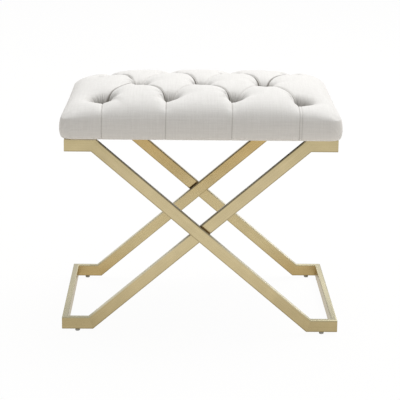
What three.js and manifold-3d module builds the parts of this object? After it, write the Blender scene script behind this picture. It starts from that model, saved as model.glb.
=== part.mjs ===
// A button-tufted stool on two bent tube frames that cross to form an X at the front and the back.
// Millimetres. X runs across the front, Y from front to back, Z up, with the origin on the floor
// under the middle of the seat.
import * as THREE from "three";
import Module from "manifold-3d";

const wasm = await Module();
wasm.setup();

// Leg frames: overall sizes
const foot_span = 600;
const seat_end_inset = 8.5;
const seat_front_inset = 10;
const leg_frame_height = 425;
const foot_length = 67.6;
const seat_bar_length = 57.4;

// Rectangular steel tube, welded at mitred corners
const tube_width = 27;
const tube_thickness = 12.6;
const tube_wall = 1.5;
const tube_corner_radius = 1.6;
const tube_corner_steps = 2;
const weld_gap = 0.3;
const crossing_gap = 0.3;
const crossing_bead_leg = 2.4;
const crossing_bead_end_margin = 1.4;
const cut_overrun = 6;
const merge_distance = 0.0005;

// Glides pushed into the feet
const glide_height = 5;
const glide_radius = 5.2;
const glide_edge_radius = 1;
const glide_stem_radius = 3;
const glide_stem_length = 6;
const glide_clearance = 0.3;
const glide_corner_distance = 24;

// Seat board, its fixings and the layers on its underside
const board_thickness = 15;
const board_corner_radius = 18;
const dust_cover_thickness = 0.8;
const dust_cover_margin = 1.4;
const hem_thickness = 1.6;
const hem_width = 28;
const layer_gap = 0.3;
const screw_from_middle = 120;
const screw_shank_radius = 2.1;
const screw_head_radius = 4.2;
const screw_head_height = 3;
const screw_bite = 12;
const screw_clearance = 0.3;
const screw_access_radius = 4.6;

// Tufted cushion
const cushion_width = 600;
const cushion_depth = 466;
const cushion_corner_radius = 26;
const cushion_belly_height = 20;
const cushion_crown_base = 41;
const cushion_crown_height = 94.2;
const cushion_hem_inset = 4;
const cushion_shoulder_inset = 3;
const shoulder_lean = 1.1;
const side_wadding = 8;
const end_crown_power = 3.6;
const front_crown_power = 4;
const tuft_spacing_share = 0.2367;
const tuft_row_spacing_share = 0.279;
const tuft_floor_height = 45;
const tuft_falloff = 0.8;
const pleat_depth = 5;
const pleat_reach = 22;
const crease_spread_degrees = 22;
const edge_spread_degrees = 40;
const foam_thickness = 36;
const foam_edge_drop = 24;
const foam_edge_width = 40;
const foam_hole_radius = 30;
const tuft_counts = [4, 3, 4];
const neighbour_reach_share = 0.75;
const between_x_shares = [0.31, 0.69];
const between_y_shares = [0.17, 0.83];
const shoulder_x_shares = [0.16, 0.6, 0.88, 1];
const shoulder_y_shares = [0.17, 0.5, 0.84, 1];

// How the cloth comes back up around the buttons of each row, from front to back: in each
// direction the radius held down flat, then the distance in which it recovers
const row_pulls = [
  {
    front: [12, 22], left: [12, 6], back: [10, 13], right: [12, 11],
    pleat_left: [12, 9], pleat_right: [13, 15],
  },
  {
    front: [10, 15], left: [11, 4], back: [10, 13], right: [11, 9],
    pleat_left: [12, 6], pleat_right: [11, 13],
  },
  {
    front: [10, 6], left: [10, 6], back: [10, 12], right: [10, 6],
    pleat_left: [10, 8], pleat_right: [10, 8],
  },
];

// Covered buttons and the twine that ties them down to the board
const button_radius = 10;
const button_height = 6.5;
const button_back_radius = 7.5;
const button_seat = 11;
const button_gap = 0.3;
const button_dome_shares = [[1, 0.3], [0.94, 0.58], [0.6, 0.9]];
const twine_radius = 0.9;
const twine_knot_radius = 3;
const twine_knot_height = 1.4;
const twine_hole_radius = 1.8;

// Sides of the round pieces and holes
const round_sides = 12;
const small_round_sides = 10;
const foam_hole_sides = 6;
const twine_sides = 6;
const twine_cut_sides = 4;
const bead_curve_steps = 3;

// Levels and places that follow from the sizes above
const frame_top = glide_height + leg_frame_height;
const hem_bottom = frame_top + layer_gap;
const dust_cover_top = hem_bottom - layer_gap;
const board_bottom = hem_bottom + hem_thickness + layer_gap;
const board_top = board_bottom + board_thickness;
const foam_bottom = board_top + layer_gap;
const foam_top = foam_bottom + foam_thickness;
const tuft_floor = frame_top + tuft_floor_height;
const foot_level = glide_height + tube_width / 2;
const seat_bar_level = frame_top - tube_width / 2;
const seat_bar_span = cushion_width - 2 * seat_end_inset;
const outer_frame_y = cushion_depth / 2 - seat_front_inset - tube_thickness / 2;
const inner_frame_y = outer_frame_y - tube_thickness - crossing_gap;
const floor_bar_x = (foot_span - tube_thickness) / 2;
const seat_rail_x = (seat_bar_span - tube_thickness) / 2;
const foot_bend_x = foot_span / 2 - foot_length;
const seat_bend_x = seat_bar_span / 2 - seat_bar_length;
const leg_rise = leg_frame_height - tube_width;
const leg_angle = Math.atan2(leg_rise, foot_bend_x + seat_bend_x);
const bend_shift = (tube_width / 2) * Math.tan(leg_angle / 2);
const tuft_spacing = cushion_width * tuft_spacing_share;
const tuft_row_spacing = cushion_depth * tuft_row_spacing_share;

// Finishes
const brushed_gold = { color: 0xc2ae80, roughness: 0.32, metalness: 1 };
const linen = { color: 0xe4dfd8, roughness: 0.92, metalness: 0 };
const grey_plastic = { color: 0xa9a8a4, roughness: 0.55, metalness: 0 };
const birch_ply = { color: 0xc9a878, roughness: 0.7, metalness: 0 };
const seat_foam = { color: 0xefe2b4, roughness: 0.95, metalness: 0 };
const black_nonwoven = { color: 0x1b1b1c, roughness: 0.95, metalness: 0 };
const zinc_steel = { color: 0xb9bcc0, roughness: 0.35, metalness: 1 };
const waxed_twine = { color: 0xd8ccb0, roughness: 0.8, metalness: 0 };
const weld_bronze = { color: 0x7a6138, roughness: 0.5, metalness: 1 };

const stool = new THREE.Group();

function addPiece(name, geometry, finish) {
  const piece = new THREE.Mesh(geometry, new THREE.MeshStandardMaterial(finish));
  piece.name = name;
  stool.add(piece);
  return piece;
}

// A closed three.js geometry as a solid for cutting: corners that meet are merged first
function toSolid(geometry) {
  const source = geometry.index ? geometry.toNonIndexed() : geometry;
  const position = source.getAttribute("position");
  const places = new Map();
  const vertices = [];
  const triangles = [];
  for (let corner = 0; corner < position.count; corner += 1) {
    const point = [position.getX(corner), position.getY(corner), position.getZ(corner)];
    const key = point.map((value) => Math.round(value / merge_distance)).join(" ");
    if (!places.has(key)) {
      places.set(key, vertices.length / 3);
      vertices.push(...point);
    }
    triangles.push(places.get(key));
  }
  const kept = [];
  for (let corner = 0; corner < triangles.length; corner += 3) {
    const [a, b, c] = triangles.slice(corner, corner + 3);
    if (a !== b && b !== c && c !== a) kept.push(a, b, c);
  }
  return new wasm.Manifold(new wasm.Mesh({
    numProp: 3,
    vertProperties: new Float32Array(vertices),
    triVerts: new Uint32Array(kept),
  }));
}

function toGeometry(solid) {
  const cut = solid.getMesh();
  const geometry = new THREE.BufferGeometry();
  geometry.setAttribute("position", new THREE.BufferAttribute(new Float32Array(cut.vertProperties), 3));
  geometry.setIndex(new THREE.BufferAttribute(new Uint32Array(cut.triVerts), 1));
  geometry.computeVertexNormals();
  return geometry;
}

// An upright cylinder between two levels
function upright(radius, low, high, x, y, sides) {
  const cylinder = new THREE.CylinderGeometry(radius, radius, high - low, sides);
  cylinder.rotateX(Math.PI / 2);
  cylinder.translate(x, y, (low + high) / 2);
  return toSolid(cylinder);
}

// A turned piece: the profile is a closed run of [radius, height] points that starts and ends on the axis
function turned(profile, sides) {
  const lathe = new THREE.LatheGeometry(profile.map(([r, h]) => new THREE.Vector2(r, h)), sides);
  lathe.rotateX(Math.PI / 2);
  return lathe;
}

// The tube's section, rounded outside and square inside, with the width along the section's Y
function tubeSection() {
  const across = tube_thickness / 2 - tube_corner_radius;
  const along = tube_width / 2 - tube_corner_radius;
  const section = new THREE.Shape();
  const corners = [[across, along, 0], [-across, along, 1], [-across, -along, 2], [across, -along, 3]];
  const outline = [];
  for (const [x, y, quarter] of corners) {
    for (let step = 0; step <= tube_corner_steps; step += 1) {
      const turn = (quarter + step / tube_corner_steps) * (Math.PI / 2);
      const out = new THREE.Vector2(Math.cos(turn), Math.sin(turn)).multiplyScalar(tube_corner_radius);
      outline.push(new THREE.Vector2(x, y).add(out));
    }
  }
  section.setFromPoints(outline);
  const bore_x = tube_thickness / 2 - tube_wall;
  const bore_y = tube_width / 2 - tube_wall;
  const bore = [[-bore_x, -bore_y], [-bore_x, bore_y], [bore_x, bore_y], [bore_x, -bore_y]];
  section.holes.push(new THREE.Path(bore.map(([x, y]) => new THREE.Vector2(x, y))));
  return section;
}

// Everything beyond a mitre plane, as a block large enough for one corner of the frame
function beyondPlane(point, normal) {
  const reach = 2 * (tube_width + tube_thickness);
  const block = new THREE.BoxGeometry(reach, reach, reach);
  block.translate(0, 0, reach / 2);
  const turn = new THREE.Quaternion().setFromUnitVectors(new THREE.Vector3(0, 0, 1), normal);
  block.applyQuaternion(turn);
  block.translate(point.x, point.y, point.z);
  return toSolid(block);
}

// One straight tube of a frame, from corner to corner on its centre line, mitred at both ends
function mitredTube(before, start, end, after) {
  const along = end.clone().sub(start).normalize();
  const upright_part = new THREE.Vector3(0, 0, 1).addScaledVector(along, -along.z).normalize();
  const across = upright_part.clone().cross(along);
  const length = start.distanceTo(end) + 2 * tube_width;
  const body = new THREE.ExtrudeGeometry(tubeSection(), { depth: length, bevelEnabled: false });
  body.translate(0, 0, -tube_width);
  body.applyMatrix4(new THREE.Matrix4().makeBasis(across, upright_part, along).setPosition(start));
  const start_normal = start.clone().sub(before).normalize().add(along).normalize();
  const end_normal = after.clone().sub(end).normalize().add(along).normalize();
  const start_plane = start.clone().addScaledVector(start_normal, weld_gap / 2);
  const end_plane = end.clone().addScaledVector(end_normal, -weld_gap / 2);
  return toSolid(body)
    .subtract(beyondPlane(start_plane, start_normal.clone().negate()))
    .subtract(beyondPlane(end_plane, end_normal));
}

// The places where glides push into a foot or a floor bar, for one frame
function glidePlaces(side, frame_y) {
  const foot_x = side * (foot_span - foot_length) / 2;
  const bar_y = frame_y - glide_corner_distance;
  return {
    front_foot: [foot_x, -frame_y],
    rear_foot: [foot_x, frame_y],
    floor_bar_front: [side * floor_bar_x, -bar_y],
    floor_bar_rear: [side * floor_bar_x, bar_y],
  };
}

// A frame is one closed loop of eight tubes: the legs lean from the foot on one side
// to the seat bar on the other side
function legFrame(frame_name, side, frame_y) {
  const foot_x = side * (foot_bend_x + bend_shift);
  const seat_x = -side * (seat_bend_x - bend_shift);
  const corner = (x, y, z) => new THREE.Vector3(x, y, z);
  const corners = [
    corner(side * floor_bar_x, -frame_y, foot_level),
    corner(foot_x, -frame_y, foot_level),
    corner(seat_x, -frame_y, seat_bar_level),
    corner(-side * seat_rail_x, -frame_y, seat_bar_level),
    corner(-side * seat_rail_x, frame_y, seat_bar_level),
    corner(seat_x, frame_y, seat_bar_level),
    corner(foot_x, frame_y, foot_level),
    corner(side * floor_bar_x, frame_y, foot_level),
  ];
  const names = ["front_foot", "front_leg", "front_seat_bar", "seat_rail",
    "rear_seat_bar", "rear_leg", "rear_foot", "floor_bar"];
  const glides = glidePlaces(side, frame_y);
  names.forEach((name, step) => {
    const at = (offset) => corners[(step + offset + corners.length) % corners.length];
    let tube = mitredTube(at(-1), at(0), at(1), at(2));
    for (const [place, [x, y]] of Object.entries(glides)) {
      if (!place.startsWith(name)) continue;
      const hole_radius = glide_stem_radius + glide_clearance;
      const hole_top = glide_height + tube_wall + cut_overrun;
      tube = tube.subtract(upright(hole_radius, glide_height - cut_overrun, hole_top, x, y, round_sides));
    }
    if (name === "seat_rail") {
      for (const y of [-screw_from_middle, screw_from_middle]) {
        const x = -side * seat_rail_x;
        const bore_middle = seat_bar_level;
        const hole_radius = screw_shank_radius + screw_clearance;
        const access_low = frame_top - tube_width - cut_overrun;
        tube = tube.subtract(upright(screw_access_radius, access_low, bore_middle, x, y, round_sides));
        const hole_top = frame_top + cut_overrun;
        tube = tube.subtract(upright(hole_radius, bore_middle, hole_top, x, y, round_sides));
      }
    }
    addPiece(`${frame_name}_${name}`, toGeometry(tube), brushed_gold);
  });
}

legFrame("outer_frame", 1, outer_frame_y);
legFrame("inner_frame", -1, inner_frame_y);

// A weld bead where two legs cross, in the corner between the top side of the nearer leg and
// the face of the leg behind it
function crossingBead(name, side, face_y) {
  const cross_z = glide_height + tube_width / 2 + (foot_bend_x + bend_shift) * Math.tan(leg_angle);
  const length = tube_width / Math.sin(2 * leg_angle) - 2 * crossing_bead_end_margin;
  const middle = (tube_width / 2) / Math.tan(2 * leg_angle);
  const bead = new THREE.Shape();
  bead.moveTo(0, 0);
  bead.lineTo(crossing_bead_leg, 0);
  bead.quadraticCurveTo(crossing_bead_leg / 2, crossing_bead_leg / 2, 0, crossing_bead_leg);
  bead.closePath();
  const body = new THREE.ExtrudeGeometry(bead, {
    depth: length,
    bevelEnabled: false,
    curveSegments: bead_curve_steps,
  });
  body.translate(0, 0, middle - length / 2);
  const along = new THREE.Vector3(side * Math.cos(leg_angle), 0, -Math.sin(leg_angle));
  const above = new THREE.Vector3(side * Math.sin(leg_angle), 0, Math.cos(leg_angle));
  const toward = new THREE.Vector3(0, -1, 0);
  const basis = new THREE.Matrix4();
  if (side > 0) basis.makeBasis(above, toward, along);
  else basis.makeBasis(toward, above, along);
  const rest = above.clone().multiplyScalar(tube_width / 2 + weld_gap);
  basis.setPosition(rest.x, face_y - weld_gap, cross_z + rest.z);
  body.applyMatrix4(basis);
  addPiece(name, body, weld_bronze);
}

crossingBead("front_crossing_weld", 1, -(inner_frame_y + tube_thickness / 2));
crossingBead("rear_crossing_weld", -1, outer_frame_y - tube_thickness / 2);

// Glides: a round foot and a stem that snaps into the tube
function glideGeometry() {
  const shoulder = glide_height - glide_clearance;
  const stem_top = glide_height + glide_stem_length;
  return turned([
    [0, 0],
    [glide_radius - glide_edge_radius, 0],
    [glide_radius, glide_edge_radius],
    [glide_radius, shoulder],
    [glide_stem_radius, shoulder],
    [glide_stem_radius, stem_top - glide_edge_radius],
    [glide_stem_radius - glide_edge_radius, stem_top],
    [0, stem_top],
  ], round_sides);
}

for (const [frame_name, side, frame_y] of [["outer", 1, outer_frame_y], ["inner", -1, inner_frame_y]]) {
  for (const [place, [x, y]] of Object.entries(glidePlaces(side, frame_y))) {
    addPiece(`${frame_name}_frame_${place}_glide`, glideGeometry(), grey_plastic).position.set(x, y, 0);
  }
}

// Where the buttons sit: three staggered rows, the middle one with one button less
const tufts = [];
const middle_row = (tuft_counts.length - 1) / 2;
tuft_counts.forEach((count, row) => {
  for (let place = 0; place < count; place += 1) {
    const x = (place - (count - 1) / 2) * tuft_spacing;
    const y = (row - middle_row) * tuft_row_spacing;
    tufts.push({ x, y, row });
  }
});

// The pleats: from each button to its neighbours in the next row, and from the front and
// back rows straight over the edge
const pleats = [];
for (const tuft of tufts) {
  for (const other of tufts) {
    const neighbours = Math.abs(other.x - tuft.x) < tuft_spacing * neighbour_reach_share;
    if (other.row === tuft.row + 1 && neighbours) pleats.push([tuft.x, tuft.y, other.x, other.y]);
  }
  if (tuft.row !== middle_row) pleats.push([tuft.x, tuft.y, tuft.x, Math.sign(tuft.y) * cushion_depth / 2]);
}

function distanceToPleat(x, y, [x0, y0, x1, y1]) {
  const run_x = x1 - x0;
  const run_y = y1 - y0;
  const share = ((x - x0) * run_x + (y - y0) * run_y) / (run_x * run_x + run_y * run_y);
  const held = Math.min(1, Math.max(0, share));
  return Math.hypot(x - x0 - held * run_x, y - y0 - held * run_y);
}

const degree = Math.PI / 180;
const pleat_turn = Math.atan2(tuft_row_spacing, tuft_spacing / 2) / degree;

// The directions around a button in which its pull is known, in degrees from the front round by
// the right: pleats pull in a narrow line, and the open edge pulls over a wide one
function pullsAround(row) {
  const { front, left, back, right, pleat_left, pleat_right } = row_pulls[row];
  let ahead = [
    [pleat_turn - 180 - crease_spread_degrees, left], [pleat_turn - 180, pleat_left], [-90, front],
    [-pleat_turn, pleat_right], [crease_spread_degrees - pleat_turn, right]];
  let behind = [
    [pleat_turn - crease_spread_degrees, right], [pleat_turn, pleat_right], [90, back],
    [180 - pleat_turn, pleat_left], [180 - pleat_turn + crease_spread_degrees, left]];
  if (row === 0) {
    ahead = [[-90 - edge_spread_degrees, left], [-90, front], [edge_spread_degrees - 90, right]];
  }
  if (row === row_pulls.length - 1) {
    behind = [[90 - edge_spread_degrees, right], [90, back], [90 + edge_spread_degrees, left]];
  }
  return [...ahead, ...behind, [ahead[0][0] + 360, left]];
}

const row_directions = row_pulls.map((_, row) => pullsAround(row));

// How strongly a button holds the cloth down at a point, from 1 at the button to 0
function tuftPull(x, y, tuft) {
  const directions = row_directions[tuft.row];
  const first = directions[0][0];
  const past_first = Math.atan2(y - tuft.y, x - tuft.x) / degree - first;
  const turn = first + ((past_first + 720) % 360);
  const next = Math.max(1, directions.findIndex(([at]) => at >= turn));
  const [turn_after, after] = directions[next];
  const [turn_before, before] = directions[next - 1];
  const share = (turn - turn_before) / (turn_after - turn_before);
  const [held, recovery] = before.map((value, part) => value + (after[part] - value) * share);
  const reach = Math.max(0, Math.hypot(x - tuft.x, y - tuft.y) - held) / recovery;
  return Math.exp(-(reach ** tuft_falloff));
}

// Height of the cushion's top: a crown that rounds down to the sides, drawn down at the buttons
// and along the pleats
function cushionHeight(x, y) {
  const half_width = cushion_width / 2 - cushion_shoulder_inset + shoulder_lean;
  const half_depth = cushion_depth / 2 - cushion_shoulder_inset + shoulder_lean;
  const across = Math.sqrt(Math.max(0, 1 - Math.abs(x / half_width) ** end_crown_power));
  const along = Math.sqrt(Math.max(0, 1 - Math.abs(y / half_depth) ** front_crown_power));
  const crown = frame_top + cushion_crown_base
    + (cushion_crown_height - cushion_crown_base) * across * along;
  let free = 1;
  for (const tuft of tufts) {
    const near = Math.max(Math.abs(x - tuft.x), Math.abs(y - tuft.y)) < button_seat + button_gap;
    if (near) return tuft_floor;
    free *= 1 - tuftPull(x, y, tuft);
  }
  let valley = 0;
  for (const pleat of pleats) {
    const reach = Math.max(0, 1 - distanceToPleat(x, y, pleat) / pleat_reach);
    valley = Math.max(valley, pleat_depth * reach * reach * across * along);
  }
  return crown - (crown - tuft_floor) * (1 - free) - free * valley;
}

// Moves a point of a square corner onto the round corner of the plan
function roundCorner(x, y, half_width, half_depth, radius) {
  const over_x = Math.abs(x) - (half_width - radius);
  const over_y = Math.abs(y) - (half_depth - radius);
  if (over_x <= 0 || over_y <= 0) return [x, y];
  const round_x = over_x * Math.sqrt(1 - (over_y * over_y) / (2 * radius * radius));
  const round_y = over_y * Math.sqrt(1 - (over_x * over_x) / (2 * radius * radius));
  return [
    Math.sign(x) * (half_width - radius + round_x),
    Math.sign(y) * (half_depth - radius + round_y),
  ];
}

// A closed padded body: a top drawn over a grid of lines, walls that step down through the given
// rings, and a flat underside
function paddedBody(x_lines, y_lines, radius, heightAt, rings) {
  const half_width = x_lines[x_lines.length - 1];
  const half_depth = y_lines[y_lines.length - 1];
  const points = [];
  const faces = [];
  const grid = y_lines.map((y) => x_lines.map((x) => {
    const [px, py] = roundCorner(x, y, half_width, half_depth, radius);
    points.push([px, py, heightAt(x, y)]);
    return points.length - 1;
  }));
  const last_x = x_lines.length - 1;
  const last_y = y_lines.length - 1;
  for (let j = 0; j < last_y; j += 1) {
    for (let i = 0; i < last_x; i += 1) {
      const [a, b, c, d] = [grid[j][i], grid[j][i + 1], grid[j + 1][i + 1], grid[j + 1][i]];
      const valley = points[a][2] + points[c][2] < points[b][2] + points[d][2];
      if (valley) faces.push([a, b, c], [a, c, d]);
      else faces.push([a, b, d], [b, c, d]);
    }
  }
  let border = [];
  for (let i = 0; i < last_x; i += 1) border.push(grid[0][i]);
  for (let j = 0; j < last_y; j += 1) border.push(grid[j][last_x]);
  for (let i = last_x; i > 0; i -= 1) border.push(grid[last_y][i]);
  for (let j = last_y; j > 0; j -= 1) border.push(grid[j][0]);
  const plan = border.map((index) => points[index]);
  for (const ring of rings) {
    const scale_x = (half_width - ring.inset) / half_width;
    const scale_y = (half_depth - ring.inset) / half_depth;
    const lower = plan.map(([x, y]) => {
      points.push([x * scale_x, y * scale_y, ring.z]);
      return points.length - 1;
    });
    for (let k = 0; k < border.length; k += 1) {
      const next = (k + 1) % border.length;
      faces.push([border[k], lower[k], lower[next]], [border[k], lower[next], border[next]]);
    }
    border = lower;
  }
  points.push([0, 0, rings[rings.length - 1].z]);
  const hub = points.length - 1;
  for (let k = 0; k < border.length; k += 1) faces.push([hub, border[(k + 1) % border.length], border[k]]);
  const geometry = new THREE.BufferGeometry();
  geometry.setAttribute("position", new THREE.Float32BufferAttribute(points.flat(), 3));
  geometry.setIndex(faces.flat());
  return geometry;
}

// Lines of the cushion's grid: a pair beside each button column or row, some between them, and
// the rest closing up over the rounded shoulder
function tuftLines(step, last, half_size, between_shares, shoulder_shares) {
  const lines = [];
  for (let place = 0; place <= last; place += 1) {
    const centre = place * step;
    if (place > 0) lines.push(centre - button_seat);
    lines.push(centre + button_seat);
    if (place < last) lines.push(...between_shares.map((share) => centre + step * share));
  }
  const edge = last * step + button_seat;
  for (const share of shoulder_shares) lines.push(edge + (half_size - edge) * share);
  return [...lines.map((line) => -line).reverse(), ...lines];
}

const last_column = tuft_counts[0] - 1;
const cushion_x_lines = tuftLines(
  tuft_spacing / 2, last_column, cushion_width / 2 - cushion_shoulder_inset,
  between_x_shares, shoulder_x_shares);
const cushion_y_lines = tuftLines(
  tuft_row_spacing, middle_row, cushion_depth / 2 - cushion_shoulder_inset,
  between_y_shares, shoulder_y_shares);

// Plan of the board and the foam: the cushion less the wadding on its sides
const board_half_width = cushion_width / 2 - cushion_hem_inset - side_wadding;
const board_half_depth = cushion_depth / 2 - cushion_hem_inset - side_wadding;

function edgeLines(half_size, margin) {
  return [-half_size, margin - half_size, half_size - margin, half_size];
}

// A flat board with rounded corners
function boardBody(half_width, half_depth, radius, low, high) {
  const top = () => high;
  const rings = [{ z: low, inset: 0 }];
  const x_lines = edgeLines(half_width, radius);
  const y_lines = edgeLines(half_depth, radius);
  return toSolid(paddedBody(x_lines, y_lines, radius, top, rings));
}

// A foam slab whose upper edge slopes down all round, grown by a clearance where it is a pocket
function foamBody(grow, low) {
  const half_width = board_half_width + grow;
  const half_depth = board_half_depth + grow;
  const x_lines = edgeLines(half_width, foam_edge_width);
  const y_lines = edgeLines(half_depth, foam_edge_width);
  const inside = (x, y) => Math.abs(x) < half_width - grow / 2 && Math.abs(y) < half_depth - grow / 2;
  const on_edge = (x, y) => Math.abs(x) === half_width || Math.abs(y) === half_depth;
  const drop = (x, y) => (on_edge(x, y) || !inside(x, y) ? foam_edge_drop : 0);
  const heightAt = (x, y) => foam_top + grow - drop(x, y);
  const rings = [{ z: low, inset: 0 }];
  return toSolid(paddedBody(x_lines, y_lines, board_corner_radius, heightAt, rings));
}

// Seat board with its screw and twine holes
let board = boardBody(board_half_width, board_half_depth, board_corner_radius, board_bottom, board_top);
const screw_hole_radius = screw_shank_radius + screw_clearance;
const screw_tip = board_bottom + screw_bite;
const screw_places = [];
for (const x of [-seat_rail_x, seat_rail_x]) {
  for (const y of [-screw_from_middle, screw_from_middle]) screw_places.push([x, y]);
}
for (const [x, y] of screw_places) {
  const low = board_bottom - cut_overrun;
  board = board.subtract(upright(screw_hole_radius, low, screw_tip + layer_gap, x, y, small_round_sides));
}
for (const { x, y } of tufts) {
  const low = board_bottom - cut_overrun;
  board = board.subtract(upright(twine_hole_radius, low, board_top + cut_overrun, x, y, twine_sides));
}
addPiece("seat_board", toGeometry(board), birch_ply);

// Foam slab, cut through under each button
let foam = foamBody(0, foam_bottom);
for (const { x, y } of tufts) {
  const low = foam_bottom - cut_overrun;
  foam = foam.subtract(upright(foam_hole_radius, low, foam_top + cut_overrun, x, y, foam_hole_sides));
}
addPiece("foam_slab", toGeometry(foam), seat_foam);

// Tufted cover: linen over thick wadding, pulled down through the foam at each button and
// turned under the board as a hem
const cover_rings = [
  { z: frame_top + cushion_belly_height, inset: -cushion_shoulder_inset },
  { z: hem_bottom, inset: cushion_hem_inset - cushion_shoulder_inset },
];
let cover = toSolid(paddedBody(
  cushion_x_lines, cushion_y_lines, cushion_corner_radius, cushionHeight, cover_rings));
let pocket = foamBody(layer_gap, board_top);
for (const { x, y } of tufts) {
  const plug_radius = foam_hole_radius - layer_gap;
  const high = foam_top + cut_overrun;
  pocket = pocket.subtract(upright(plug_radius, foam_bottom, high, x, y, foam_hole_sides));
}
cover = cover.subtract(pocket);
cover = cover.subtract(boardBody(
  board_half_width + layer_gap, board_half_depth + layer_gap, board_corner_radius,
  board_bottom - layer_gap, foam_bottom));
cover = cover.subtract(boardBody(
  board_half_width - hem_width, board_half_depth - hem_width, board_corner_radius,
  hem_bottom - cut_overrun, board_bottom));
for (const { x, y } of tufts) {
  const low = board_top - cut_overrun;
  cover = cover.subtract(upright(twine_hole_radius, low, tuft_floor + cut_overrun, x, y, twine_cut_sides));
}
for (const [x, y] of screw_places) {
  const low = hem_bottom - cut_overrun;
  cover = cover.subtract(upright(screw_hole_radius, low, board_bottom, x, y, twine_sides));
}
addPiece("tufted_cover", toGeometry(cover), linen);

// Black dust cover over the board's underside, inside the frames
const dust_cover = new THREE.BoxGeometry(
  2 * (seat_rail_x - tube_thickness / 2 - dust_cover_margin),
  2 * (inner_frame_y - tube_thickness / 2 - dust_cover_margin),
  dust_cover_thickness);
dust_cover.translate(0, 0, dust_cover_top - dust_cover_thickness / 2);
addPiece("dust_cover", dust_cover, black_nonwoven);

// Screws up through the seat rails into the board
const screw_head_top = frame_top - tube_wall - screw_clearance;
const screw_geometry = turned([
  [0, screw_head_top - screw_head_height],
  [screw_head_radius - screw_head_height / 3, screw_head_top - screw_head_height],
  [screw_head_radius, screw_head_top - screw_head_height / 2],
  [screw_head_radius, screw_head_top],
  [screw_shank_radius, screw_head_top],
  [screw_shank_radius, screw_tip - screw_shank_radius],
  [0, screw_tip],
], small_round_sides);
screw_places.forEach(([x, y], place) => {
  addPiece(`seat_screw_${place + 1}`, screw_geometry.clone(), zinc_steel).position.set(x, y, 0);
});

// Covered buttons on the floor of each tuft, and the twine below them
const button_bottom = tuft_floor + button_gap;
const button_geometry = turned([
  [0, button_bottom],
  [button_back_radius, button_bottom],
  ...button_dome_shares.map(([out, up]) => [button_radius * out, button_bottom + button_height * up]),
  [0, button_bottom + button_height],
], round_sides);
const knot_top = board_bottom - layer_gap;
const twine_geometry = turned([
  [0, knot_top - twine_knot_height],
  [twine_knot_radius, knot_top - twine_knot_height],
  [twine_knot_radius, knot_top],
  [twine_radius, knot_top],
  [twine_radius, tuft_floor],
  [0, tuft_floor],
], twine_sides);
tufts.forEach(({ x, y }, place) => {
  addPiece(`tuft_button_${place + 1}`, button_geometry.clone(), linen).position.set(x, y, 0);
  addPiece(`tuft_twine_${place + 1}`, twine_geometry.clone(), waxed_twine).position.set(x, y, 0);
});

export default stool;
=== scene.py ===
"""The looks of an X-frame stool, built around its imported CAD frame. Metres, Z up, front at -Y."""

from math import atan2, copysign, cos, degrees, dist, hypot, inf, pi, radians, sin, sqrt

import bmesh
import bpy
import numpy as np
from mathutils import Matrix, Vector
from mathutils.geometry import delaunay_2d_cdt


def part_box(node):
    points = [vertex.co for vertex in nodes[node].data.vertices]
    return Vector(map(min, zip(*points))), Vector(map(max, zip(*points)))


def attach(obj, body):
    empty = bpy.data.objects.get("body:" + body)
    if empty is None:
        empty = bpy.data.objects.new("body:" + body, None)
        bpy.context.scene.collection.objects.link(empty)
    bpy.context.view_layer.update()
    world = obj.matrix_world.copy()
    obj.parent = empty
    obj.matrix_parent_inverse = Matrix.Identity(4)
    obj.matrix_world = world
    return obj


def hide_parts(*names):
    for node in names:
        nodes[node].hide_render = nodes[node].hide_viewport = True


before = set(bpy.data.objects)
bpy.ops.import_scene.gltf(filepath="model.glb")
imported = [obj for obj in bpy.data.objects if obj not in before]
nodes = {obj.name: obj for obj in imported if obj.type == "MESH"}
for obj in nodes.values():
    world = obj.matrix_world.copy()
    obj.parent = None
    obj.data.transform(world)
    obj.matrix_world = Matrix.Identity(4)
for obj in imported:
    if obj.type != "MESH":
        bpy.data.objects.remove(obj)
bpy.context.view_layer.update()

scene = bpy.context.scene


# The view
# The photograph's camera: a long lens a little above the seat, almost square to the front. Its
# place, turn and lens were solved from the straight edges of the tubes.
photo_lens, sensor_width = 145.04, 36.0
photo_place = (-0.05669, -3.56171, 1.12117)
photo_yaw, photo_pitch, photo_roll = (radians(angle) for angle in (-0.936, 13.819, 0.647))

camera_data = bpy.data.cameras.new("photo_camera")
camera_data.lens, camera_data.sensor_width = photo_lens, sensor_width
camera = bpy.data.objects.new("photo_camera", camera_data)
camera.matrix_world = (
    Matrix.Translation(photo_place)
    @ Matrix.Rotation(photo_yaw, 4, "Z")
    @ Matrix.Rotation(pi / 2 - photo_pitch, 4, "X")
    @ Matrix.Rotation(photo_roll, 4, "Z")
)
scene.collection.objects.link(camera)
scene.camera = camera


# The studio
# A white floor that runs on into a white room, with one broad lamp overhead and a little behind.
# The floor shows white to the camera and still takes the stool's soft shadow.
room_white = (1.0, 1.0, 1.0)
room_fill = 0.47
floor_tone = (0.94, 0.895, 0.835)
floor_half, floor_glow_share = 30, 0.96
lamp_place, lamp_aim = Vector((1.3, 1.9, 4.8)), Vector((0.0, 0.0, 0.4))
lamp_size, lamp_power = 5.0, 279.0

scene.view_settings.view_transform = "Standard"


def feed(tree, node, **inputs):
    """Sets a node's inputs, named with underscores for spaces or by number as _0, to a value, to
    another node's output, or to another node, whose first output is then meant."""
    for key, value in inputs.items():
        socket = node.inputs[int(key[1:]) if key[0] == "_" else key.replace("_", " ")]
        value = value.outputs[0] if isinstance(value, bpy.types.Node) else value
        if isinstance(value, bpy.types.NodeSocket):
            tree.links.new(value, socket)
        else:
            socket.default_value = (*value, 1) if socket.type == "RGBA" else value


def add_node(tree, kind, settings=None, **inputs):
    """A new node with its settings and its inputs."""
    node = tree.nodes.new(kind)
    for key, value in (settings or {}).items():
        setattr(node, key, value)
    feed(tree, node, **inputs)
    return node


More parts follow.
